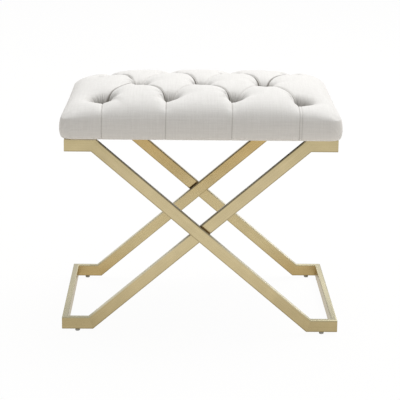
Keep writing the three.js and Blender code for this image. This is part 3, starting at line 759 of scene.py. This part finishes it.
def cover_points(u, v, fold_share=1.0):
    x, y, z, rise = cloth_to_cushion(u, v)
    taper = left_taper * np.clip(-x / half_width, 0, 1) * (y + half_depth) / (2 * half_depth)
    height = frame_top + tufted_height(u, v, z, rise, fold_share)
    return np.stack([x + cushion_shift + taper, y, height], axis=-1)


def close_below(points, faces):
    """Adds a fan from the cloth's open edge to a point under the board, so the form is closed."""
    edges = dict.fromkeys(edge for face in faces for edge in zip(face, (*face[1:], face[0])))
    open_edges = [(a, b) for a, b in edges if (b, a) not in edges]
    points = np.vstack([points, [(0, 0, frame_top + side_profile[-1][1])]])
    return points, list(faces) + [(b, a, len(points) - 1) for a, b in open_edges]


button_hold_radius, hold_least = 0.014, 0.01
pleat_hold, pleat_hold_width = 0.5, 0.004
hem_hold_from, hem_hold_band = 0.012, 0.024
corner_hold, corner_hold_from, corner_hold_band = 0.9, 0.03, 0.04


def swollen_cloth():
    """Blows the cover up a little over its held buttons, pleats and hem with a cloth simulation,
    and returns how far each knot of a coarse grid of the flat cloth has moved."""
    steps_x, steps_y = int(cloth_half_x / sim_cell), int(cloth_half_y / sim_cell)
    us, vs = np.arange(-steps_x, steps_x + 1) * sim_cell, np.arange(-steps_y, steps_y + 1) * sim_cell
    grid_u, grid_v = np.meshgrid(us, vs)
    kept = inside_cloth(grid_u, grid_v)
    index = -np.ones(kept.shape, int)
    index[kept] = np.arange(kept.sum())
    u, v = grid_u[kept], grid_v[kept]
    points = cover_points(u, v, fold_share=0.0)
    quads = [(index[j, i], index[j, i + 1], index[j + 1, i + 1], index[j + 1, i])
             for j in range(len(vs) - 1) for i in range(len(us) - 1)]
    form = mesh_object("cover_form", *close_below(points, [quad for quad in quads if min(quad) >= 0]))
    far = np.hypot(*past_core(u, v))
    weight = np.where(nearest_tuft(u, v) < button_hold_radius, 1.0, 0.0)
    weight = np.maximum(weight, pleat_hold * bell(nearest_pleat(u, v), pleat_hold_width))
    weight = np.maximum(weight, np.clip((far - band_round - hem_hold_from) / hem_hold_band, 0, 1))
    corner_x = np.clip((np.abs(u) - band_core_x + corner_hold_from) / corner_hold_band, 0, 1)
    corner_y = np.clip((np.abs(v) - band_core_y + corner_hold_from) / corner_hold_band, 0, 1)
    weight = np.maximum(weight, corner_hold * corner_x * corner_y)
    held = form.vertex_groups.new(name="held")
    for vertex, value in enumerate([*weight, 1.0]):
        if value > hold_least:
            held.add([vertex], float(value), "REPLACE")
    cloth = form.modifiers.new("swell", "CLOTH")
    settings = dict(
        quality=6, mass=0.2, tension_stiffness=12, compression_stiffness=6, shear_stiffness=4,
        bending_stiffness=0.4, vertex_group_mass="held", use_pressure=True,
        uniform_pressure_force=sim_pressure)
    for key, value in settings.items():
        setattr(cloth.settings, key, value)
    cloth.settings.effector_weights.gravity = 0
    cloth.collision_settings.use_collision = False
    cloth.point_cache.frame_start, cloth.point_cache.frame_end = 1, sim_steps
    for moment in range(1, sim_steps + 1):
        scene.frame_set(moment)
    swollen = form.evaluated_get(bpy.context.evaluated_depsgraph_get()).to_mesh()
    moved = np.zeros(len(swollen.vertices) * 3)
    swollen.vertices.foreach_get("co", moved)
    moved = moved.reshape(-1, 3)[:len(points)] - points
    form.modifiers.clear()
    bpy.data.objects.remove(form)
    scene.frame_set(1)
    size = np.maximum(np.linalg.norm(moved, axis=1, keepdims=True), 1e-9)
    field = np.zeros(kept.shape + (3,))
    field[kept] = moved * (sim_cap * np.tanh(size / sim_cap) / size)
    return us[0], vs[0], field


def sample_field(u, v, first_u, first_v, field):
    """The moves of the coarse grid at any points of the flat cloth, with smooth cubic weights."""
    def weights(t):
        return (((-0.5 * t + 1) * t - 0.5) * t, (1.5 * t - 2.5) * t * t + 1,
                ((-1.5 * t + 2) * t + 0.5) * t, (0.5 * t - 0.5) * t * t)

    x, y = (u - first_u) / sim_cell, (v - first_v) / sim_cell
    i, j = np.floor(x).astype(int), np.floor(y).astype(int)
    total = np.zeros(u.shape + (3,))
    for row, weight_y in enumerate(weights(y - j)):
        for column, weight_x in enumerate(weights(x - i)):
            rows = np.clip(j + row - 1, 0, field.shape[0] - 1)
            columns = np.clip(i + column - 1, 0, field.shape[1] - 1)
            total += field[rows, columns] * (weight_x * weight_y)[:, None]
    return total


def cloth_lattice(cell, from_pleat, from_tuft, to_tuft):
    """Staggered points over the flat cloth, at these distances from the pleats and the buttons."""
    row_step = cell * sqrt(3) / 2
    rows, columns = int(cloth_half_y / row_step) + 1, int(cloth_half_x / cell) + 1
    u, v = np.array([((i + (j % 2) / 2) * cell, j * row_step)
                     for j in range(-rows, rows + 1) for i in range(-columns - 1, columns + 1)]).T
    far = nearest_tuft(u, v)
    kept = inside_cloth(u, v) & (nearest_pleat(u, v) > from_pleat) & (far > from_tuft) & (far <= to_tuft)
    return np.stack([u[kept], v[kept]], axis=-1)


def cover_flat_points():
    """Points of the flat cloth: even over the puffs, close together in the tufts and in lines
    along the pleats, and an even row along the cut edge."""
    puff_cell, pleat_step, pleat_strip = 0.0042, 0.0029, 0.0072
    sets = [cloth_lattice(*row) for row in (
        (puff_cell, pleat_strip, 0.046, inf), (0.0029, pleat_strip, 0.034, 0.046),
        (0.0017, pleat_strip, 0.013, 0.034), (0.0024, -1, -1, 0.0125))]
    line_steps = (0.0006, 0.0011, 0.0016, 0.0022, 0.003, 0.004, 0.0052, 0.0066)
    for x0, y0, x1, y1, *_, bow in pleats:
        length, tx, ty = pleat_line(x0, y0, x1, y1)
        runs = np.arange(0.0135, length, pleat_step)
        for off in (*(-step for step in reversed(line_steps)), 0.0, *line_steps):
            aside = off + pleat_bow(runs, length, bow)
            line = np.stack([x0 + tx * runs + ty * aside, y0 + ty * runs - tx * aside], axis=-1)
            sets.append(line[nearest_tuft(line[:, 0], line[:, 1]) > 0.0128])
    straight_x = np.arange(-band_core_x, band_core_x, puff_cell)
    straight_y = np.arange(-band_core_y, band_core_y, puff_cell)
    for side in (-1, 1):
        sets.append(np.stack([straight_x, np.full_like(straight_x, side * cloth_half_y)], axis=-1))
        sets.append(np.stack([np.full_like(straight_y, side * cloth_half_x), straight_y], axis=-1))
    edge = []
    for k in range(0, 720, 4):
        c, s = cos(2 * pi * k / 720), sin(2 * pi * k / 720)
        edge.append((copysign(band_core_x, c) + (band_round + cloth_drop) * c,
                     copysign(band_core_y, s) + (band_round + cloth_drop) * s))
    return np.vstack([*sets, edge])


flat_points, _, flat_faces, *_ = delaunay_2d_cdt([Vector(p) for p in cover_flat_points()], [], [], 0, 2e-4)
flat = np.array([tuple(p) for p in flat_points])
u, v = flat.T
middle = np.array([flat[list(face)].mean(axis=0) for face in flat_faces])
cover_faces = [face for face, ok in zip(flat_faces, inside_cloth(*middle.T)) if ok]
cover_base = cover_points(u, v)
cover_base = cover_base + sample_field(u, v, *swollen_cloth())


def vertex_normals(points, faces):
    corners = np.array(faces)
    a, b, c = (points[corners[:, column]] for column in range(3))
    total = np.zeros_like(points)
    for column in range(3):
        np.add.at(total, corners[:, column], np.cross(b - a, c - a))
    return total / np.maximum(np.linalg.norm(total, axis=1, keepdims=True), 1e-12)


# Folds: along every pleat the cloth is tucked under itself, which leaves a fine sunk line with a soft
# lip beside it, and around the buttons it gathers into short creases. The fold line and the band beside it
# are also darkened with painted shade
line_width, lip_off, lip_width, second_off = 0.0008, 0.0034, 0.0022, 0.0052
fade_in, fade_out, full_fold, full_second, full_lift = 0.02, 0.012, 0.0030, 0.0024, 0.0040
fold, painted_fold_shade = np.zeros(len(u)), np.zeros(len(u))
for pleat in pleats:
    off, run, length = along_pleat(u, v, pleat)
    main, second, over_side, lift = pleat[4:8]
    ends = np.clip(run / fade_in, 0, 1) * np.clip((length - run) / fade_out, 0, 1)
    below = -off * over_side
    line, lip = bell(off, line_width), bell(off + lip_off, lip_width)
    beside = bell(below - second_off, line_width)
    fold += ends * (-main * line + 0.35 * main * lip - second * beside)
    # Painted shade: the cloth is darkened on the fold line and in the band on the covered side of it
    under = (below >= 0) / (1 + np.exp((below - lip_off) / 0.0004)) * min(1, lift / full_lift)
    painted_fold_shade = np.maximum(painted_fold_shade, ends * np.maximum(line * min(1, main / full_fold), beside * second / full_second))
    painted_fold_shade = np.maximum(painted_fold_shade, ends * under)

from_button, closest = np.zeros((len(u), 3)), np.full(len(u), np.inf)
for number, (x, y, *_) in enumerate(tufts):
    far = np.hypot(u - x, v - y)
    nearer = far < closest
    closest = np.minimum(closest, far)
    from_button[nearer] = np.stack([u - x, v - y, np.full(len(u), number)], axis=-1)[nearer]
gather = np.clip((closest - 0.009) / 0.004, 0, 1) * np.clip((0.034 - closest) / 0.018, 0, 1)

cover_final = cover_base + vertex_normals(cover_base, cover_faces) * fold[:, None]
tufted_linen = mesh_object("tufted_linen_cover", *close_below(cover_final, cover_faces))
linen_mesh = tufted_linen.data
corner_vertex = np.zeros(len(linen_mesh.loops), int)
linen_mesh.loops.foreach_get("vertex_index", corner_vertex)
flat_closed = np.vstack([flat, [(0, 0)]])
linen_mesh.uv_layers.new(name="flat_cloth").data.foreach_set("uv", flat_closed[corner_vertex].ravel())
# The first two marks are painted shade, darkening along the folds and down in the button pits; the third
# fades the creases in
for shade_name, shade in (("painted_fold_shade", painted_fold_shade), ("painted_pit_shade", 1 - left_free(u, v)), ("gather", gather)):
    mark_points(linen_mesh, shade_name, np.append(shade, 0).astype(np.float32))
way_layer = linen_mesh.attributes.new("from_button", "FLOAT_VECTOR", "POINT")
way_layer.data.foreach_set("vector", np.vstack([from_button, [(1, 1, 0)]]).astype(np.float32).ravel())
linen_mesh.shade_smooth()

# Plain weave: two sets of threads with slubs, as height and as a slight change of colour
weave, given = new_group(
    "linen_weave", "ShaderNodeTree", dict(Vector="Vector", Threads_per_Metre=1400.0),
    dict(Height="Float", Slub="Float"))
place = axes(weave, given["Vector"])
thread_turns = [calculate(weave, "MULTIPLY", place[axis], given["Threads per Metre"]) for axis in ("X", "Y")]
waves = [calculate(weave, "SINE", calculate(weave, "MULTIPLY", turn, pi)) for turn in thread_turns]
slubs = 0.0
for stretch in ((60.0, 1400.0, 1.0), (1400.0, 60.0, 1.0), (14.0, 300.0, 1.0), (300.0, 14.0, 1.0)):
    slubs = calculate(weave, "MULTIPLY_ADD", noise(weave, given["Vector"], stretch, 2.0, 0.5), 0.25, slubs)
slub = rescale(weave, slubs, 0.0, 1.0, 0.34, 0.66)
threads = calculate(weave, "MULTIPLY_ADD", calculate(weave, "MULTIPLY", *waves), 0.35, slub)
add_node(weave, "NodeGroupOutput", Height=threads, Slub=slub)


def woven(tree, place, threads):
    """The weave's height and slub in a material, at so many threads to the metre."""
    settings = {"node_tree": weave}
    return add_node(tree, "ShaderNodeGroup", settings, Vector=place, Threads_per_Metre=threads).outputs


linen_threads = 1400
linen_feel = dict(Roughness=0.92, Sheen_Weight=0.15, Sheen_Roughness=0.5)
painted_shade_tone = (0.20, 0.185, 0.16)
linen_cloth, linen = new_finish("off_white_linen")
cloth = woven(linen, add_node(linen, "ShaderNodeUVMap", {"uv_map": "flat_cloth"}), linen_threads)
tone = mix(linen, cloth["Slub"], (0.69, 0.675, 0.650), (0.81, 0.797, 0.774))
# Painted shade: the cloth is darkened along the folds and down in the button pits
tone = mix(linen, mark(linen, "painted_fold_shade"), tone, painted_shade_tone)
tone = mix(linen, rescale(linen, mark(linen, "painted_pit_shade"), 0.0, 0.64, 0.16, 0.75), tone, (0.22, 0.205, 0.18))

# Short creases that run away from each button, where the cloth gathers: noise read by direction only. They
# are sunk by bump and darkened with painted shade
way = axes(linen, mark(linen, "from_button", "Vector"))
flat_way = add_node(linen, "ShaderNodeCombineXYZ", X=way["X"], Y=way["Y"])
ripple = add_node(
    linen, "ShaderNodeTexNoise", {"noise_dimensions": "4D"}, Scale=3.4, Detail=1.5, Roughness=0.55,
    Vector=add_node(linen, "ShaderNodeVectorMath", {"operation": "NORMALIZE"}, _0=flat_way),
    W=calculate(linen, "MULTIPLY", way["Z"], 7.3))
ripple = calculate(linen, "SUBTRACT", ripple.outputs["Fac"], 0.5)
ridge = add_node(
    linen, "ShaderNodeMapRange", {"interpolation_type": "SMOOTHSTEP"},
    Value=calculate(linen, "ABSOLUTE", ripple), From_Min=0.0, From_Max=0.055, To_Min=1.0, To_Max=0.0)
near_button = mark(linen, "gather")
crease = calculate(linen, "MULTIPLY", ridge, near_button)
# Painted shade in the creases
tone = mix(linen, calculate(linen, "MULTIPLY", crease, 0.32), tone, painted_shade_tone)
relief = calculate(linen, "MULTIPLY_ADD", crease, -0.35, calculate(linen, "MULTIPLY", ripple, near_button))
surface(
    linen, Base_Color=tone, **linen_feel,
    Normal=bump(linen, cloth["Height"], 0.35, 0.0003, Normal=bump(linen, relief, 0.8, 0.004)))
dress(linen_mesh, linen_cloth)
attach(tufted_linen, "root")
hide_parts("tufted_cover")


# The buttons and their twine
# A small metal shell under each button is covered in the same linen, drawn tight and gathered below
# its rim. Waxed twine runs from its back down through the foam and is knotted under the board.
button_radius, button_height, button_sides = 0.0100, 0.0065, 72
button_rim = [
    (0.0, 0.0), (0.70, 0.0), (0.84, 0.05), (0.95, 0.17), (0.995, 0.33), (1.0, 0.42), (0.985, 0.55),
    (0.93, 0.70), (0.82, 0.82), (0.66, 0.91), (0.46, 0.965), (0.24, 0.993), (0.10, 1.0), (0.0, 1.0)]
gather_count, gather_depth = 18, 0.00028

button_profile = [(button_radius * out, button_height * up) for out, up in button_rim]
button = turned_piece("button", button_profile, button_sides)
for vertex in button.data.vertices:
    far = hypot(vertex.co.x, vertex.co.y) / button_radius
    turn = atan2(vertex.co.y, vertex.co.x)
    low_share = max(0.0, 1 - vertex.co.z / (0.6 * button_height))
    pull = gather_depth * (1 + sin(gather_count * turn + 2 * sin(3 * turn))) * low_share * (far > 0.6)
    vertex.co.x -= pull * cos(turn)
    vertex.co.y -= pull * sin(turn)
button_uv = button.data.uv_layers.new(name="flat_cloth")
for corner in button.data.loops:
    place = button.data.vertices[corner.vertex_index].co
    far = hypot(place.x, place.y)
    stretch = 1 + (button_height - place.z) / max(far, 1e-4) if far > 1e-6 else 1
    button_uv.data[corner.index].uv = (place.x * stretch, place.y * stretch)

button_linen, shell = new_finish("button_linen")
cloth = woven(shell, add_node(shell, "ShaderNodeUVMap", {"uv_map": "flat_cloth"}), linen_threads)
surface(
    shell, Base_Color=mix(shell, cloth["Slub"], (0.46, 0.435, 0.395), (0.58, 0.555, 0.51)), **linen_feel,
    Normal=bump(shell, cloth["Height"], 0.35, 0.0003))
buttons = set_at_nodes("covered_buttons", button, "tuft_button_", button_linen, seed=5)

waxed_twine, twine = new_finish("waxed_twine")
lay = add_node(
    twine, "ShaderNodeTexWave", {"wave_type": "BANDS", "bands_direction": "DIAGONAL"},
    Vector=object_place(twine), Scale=160.0, Distortion=1.0, Detail=1.0).outputs["Fac"]
surface(
    twine, Roughness=0.6, Base_Color=mix(twine, lay, (0.42, 0.34, 0.21), (0.66, 0.57, 0.40)),
    Normal=bump(twine, lay, 0.6, 0.0003))
for name, node in nodes.items():
    if name.startswith("tuft_twine_"):
        dress(node.data, waxed_twine)


# The dust cover
# Black non-woven cloth under the board, inside the frames. Its edges are folded in and stapled, and
# it pulls a little towards each staple.
sheet_half_x, sheet_half_y = 0.2773, 0.1959
sheet_top, sheet_thin = 0.42996, 0.00042
sheet_hem, sheet_sag, sheet_pucker = 0.014, 0.0009, 0.0006
hem_thick, hem_edge, scallop_depth, scallop_band = 0.0004, 0.0005, 0.0011, 0.02
sheet_steps_x, sheet_steps_y = 171, 121
staple_step_x, staple_step_y, staple_inset = 0.0504, 0.0485, 0.0075


def staple_row(half, other_half, step):
    """Even staples along one pair of opposite sides, as (along, across) places."""
    count = max(2, round(2 * (half - staple_inset) / step))
    alongs = [-half + staple_inset + (k + 0.5) * 2 * (half - staple_inset) / count for k in range(count)]
    return [(along, side * (other_half - staple_inset)) for along in alongs for side in (-1, 1)]


def sheet_lines(half, steps):
    """Even lines across the sheet, with one close to each edge."""
    return np.concatenate([[-1, -0.9993], np.linspace(-0.997, 0.997, steps), [0.9993, 1]]) * half


staple_places = [(x, y, 0.0) for x, y in staple_row(sheet_half_x, sheet_half_y, staple_step_x)]
staple_places += [(x, y, pi / 2) for y, x in staple_row(sheet_half_y, sheet_half_x, staple_step_y)]

u, v = np.meshgrid(sheet_lines(sheet_half_x, sheet_steps_x), sheet_lines(sheet_half_y, sheet_steps_y))
to_edge = np.minimum(sheet_half_x - np.abs(u), sheet_half_y - np.abs(v))
pinch = np.zeros_like(u)
for x, y, turn in staple_places:
    out_x, out_y = (0, copysign(1, y)) if turn == 0 else (copysign(1, x), 0)
    inward = -((u - x) * out_x + (v - y) * out_y)
    aside = np.abs((u - x) * out_y) + np.abs((v - y) * out_x)
    inside = np.maximum(inward, 0)
    ray = bell(aside, 0.004 + 0.25 * inside) * np.exp(-inside / 0.03)
    pinch = np.maximum(pinch, ray * (inward > -0.009))
bow = np.clip(1 - (u / sheet_half_x) ** 2, 0, 1) * np.clip(1 - (v / sheet_half_y) ** 2, 0, 1)
hem_fold = 1 / (1 + np.exp((to_edge - sheet_hem) / hem_edge))
sink = sheet_sag * bow + sheet_pucker * (1 - pinch) * np.exp(-to_edge / 0.05) + hem_thick * hem_fold
scallop = scallop_depth * (1 - pinch) * np.exp(-to_edge / 0.006)
pull_x = np.where(np.abs(u) > sheet_half_x - scallop_band, -np.sign(u) * scallop, 0)
pull_y = np.where(np.abs(v) > sheet_half_y - scallop_band, -np.sign(v) * scallop, 0)
under = np.stack([u + pull_x, v + pull_y, sheet_top - sheet_thin - sink], axis=-1)
above = under + np.array([0, 0, sheet_thin])
rows, columns = u.shape
sheet_faces = []
for j in range(rows - 1):
    for i in range(columns - 1):
        a, b = j * columns + i, (j + 1) * columns + i
        sheet_faces.append((a, b, b + 1, a + 1))
        sheet_faces.append(tuple(rows * columns + k for k in (a, a + 1, b + 1, b)))
rim = [*range(columns)] + [j * columns + columns - 1 for j in range(1, rows)]
rim += [(rows - 1) * columns + i for i in range(columns - 2, -1, -1)]
rim += [j * columns for j in range(rows - 2, 0, -1)]
for a, b in zip(rim, rim[1:] + rim[:1]):
    sheet_faces.append((a, b, rows * columns + b, rows * columns + a))
sheet_points = np.vstack([under.reshape(-1, 3), above.reshape(-1, 3)])
dust_sheet = mesh_object("underside_sheet", sheet_points, sheet_faces)
dust_sheet.data.shade_smooth()
dust_sheet.data.set_sharp_from_angle(angle=radians(60))

black_cloth, black = new_finish("black_nonwoven")
place = object_place(black)
fibres = noise(black, place, 700.0, 5.0, 0.75, 2.0)
relief = calculate(black, "ADD", fibres, woven(black, place, 620)["Height"])
surface(
    black, Roughness=0.88, Base_Color=mix(black, fibres, (0.006, 0.006, 0.0065), (0.028, 0.028, 0.030)),
    Normal=bump(black, relief, 0.4, 0.0003))
dress(dust_sheet.data, black_cloth)
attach(dust_sheet, "root")
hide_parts("dust_cover")


# The staples and the screws
# Fine zinc staples hold the dust cover. Four pan-head screws pass up through the seat rails, where
# the larger holes let the driver in, and bite into the board.
staple_crown, staple_leg, staple_bend = 0.0100, 0.0050, 0.0007
staple_wide, staple_flat, staple_hang = 0.0011, 0.0005, 0.00045


def swept_strip(name, path, width, thickness):
    """A flat wire swept along a path in the XZ plane, closed at both ends."""
    points, faces = [], []
    for k, (x, z) in enumerate(path):
        before, after = path[max(0, k - 1)], path[min(len(path) - 1, k + 1)]
        length = dist(before, after)
        out_x, out_z = (after[1] - before[1]) / length, -(after[0] - before[0]) / length
        for side, across in ((-1, -1), (-1, 1), (1, 1), (1, -1)):
            points.append((x + side * out_x * thickness / 2, across * width / 2,
                           z + side * out_z * thickness / 2))
    last = 4 * (len(path) - 1)
    for k in range(0, last, 4):
        faces += [(k + i, k + (i + 1) % 4, k + 4 + (i + 1) % 4, k + 4 + i) for i in range(4)]
    faces += [(3, 2, 1, 0), (last, last + 1, last + 2, last + 3)]
    strip = mesh_object(name, points, faces)
    turn_faces_out(strip.data)
    return strip


staple_half = [(staple_crown / 2, staple_leg)]
for step in range(5):
    turn = step / 4 * pi / 2
    out, down = staple_bend * (1 - cos(turn)), staple_bend * (1 - sin(turn))
    staple_half.append((staple_crown / 2 - out, down))
staple_path = [(-x, z) for x, z in staple_half] + staple_half[::-1]

zinc_steel, zinc = new_finish("bright_zinc")
grain = noise(zinc, object_place(zinc), 650.0, 4.0, 0.65)
surface(
    zinc, Metallic=1.0, Base_Color=mix(zinc, grain, (0.42, 0.43, 0.45), (0.68, 0.69, 0.71)),
    Roughness=rescale(zinc, grain, 0.25, 0.5))

staple_level = sheet_top - sheet_thin - sheet_pucker - staple_hang
staple = swept_strip("staple", staple_path, staple_wide, staple_flat)
staples = set_in_places(
    "underside_staples", staple, [(x, y, staple_level) for x, y, _ in staple_places], zinc_steel,
    turns=[turn for _, _, turn in staple_places], turn_spread=radians(7), seed=4)

screw_head, screw_shank, screw_root = 0.0042, 0.0021, 0.00165
screw_head_up, screw_length, screw_tip = 0.003, 0.019, 0.0035
thread_pitch, thread_sides, thread_steps = 0.0012, 24, 70
recess_long, recess_wide, recess_deep = 0.0024, 0.0007, 0.0019
screw_profile = [
    (0, 0.0), (0.0014, 0.00004), (0.0026, 0.0003), (0.0035, 0.0009), (0.0040, 0.0017),
    (screw_head, 0.0024), (screw_head, screw_head_up), (screw_shank, screw_head_up)]
for step in range(1, thread_steps + 1):
    up = screw_head_up + step / thread_steps * (screw_length - screw_head_up)
    tip = min(1, (screw_length - up) / screw_tip)
    screw_profile.append((max(screw_root * tip, 0.00012), up))
screw_profile.append((0, screw_length))
screw = turned_piece("screw", screw_profile, thread_sides)
for vertex in screw.data.vertices:
    if vertex.co.z > screw_head_up + 0.0004 and vertex.co.z < screw_length - 0.0002:
        turn = atan2(vertex.co.y, vertex.co.x) / (2 * pi)
        wind = (vertex.co.z / thread_pitch - turn) % 1
        tip = min(1, (screw_length - vertex.co.z) / screw_tip)
        crest = (screw_shank - screw_root) * max(0, 1 - abs(wind - 0.5) / 0.28) * tip
        radius = hypot(vertex.co.x, vertex.co.y)
        vertex.co.x *= (radius + crest) / radius
        vertex.co.y *= (radius + crest) / radius
recess = bmesh.new()
for turn in (0, pi / 2):
    for vertex in bmesh.ops.create_cube(recess, size=1)["verts"]:
        taper = 0.6 if vertex.co.z > 0 else 1.0
        vertex.co = Vector((vertex.co.x * 2 * recess_long * taper, vertex.co.y * 2 * recess_wide * taper,
                            vertex.co.z * 2 * recess_deep))
        vertex.co.rotate(Matrix.Rotation(turn, 3, "Z"))
cut_away(screw, recess, crossed=True)

screws = set_at_nodes("seat_screws", screw, "seat_screw_", zinc_steel, seed=6)
screws.data.set_sharp_from_angle(angle=radians(35))
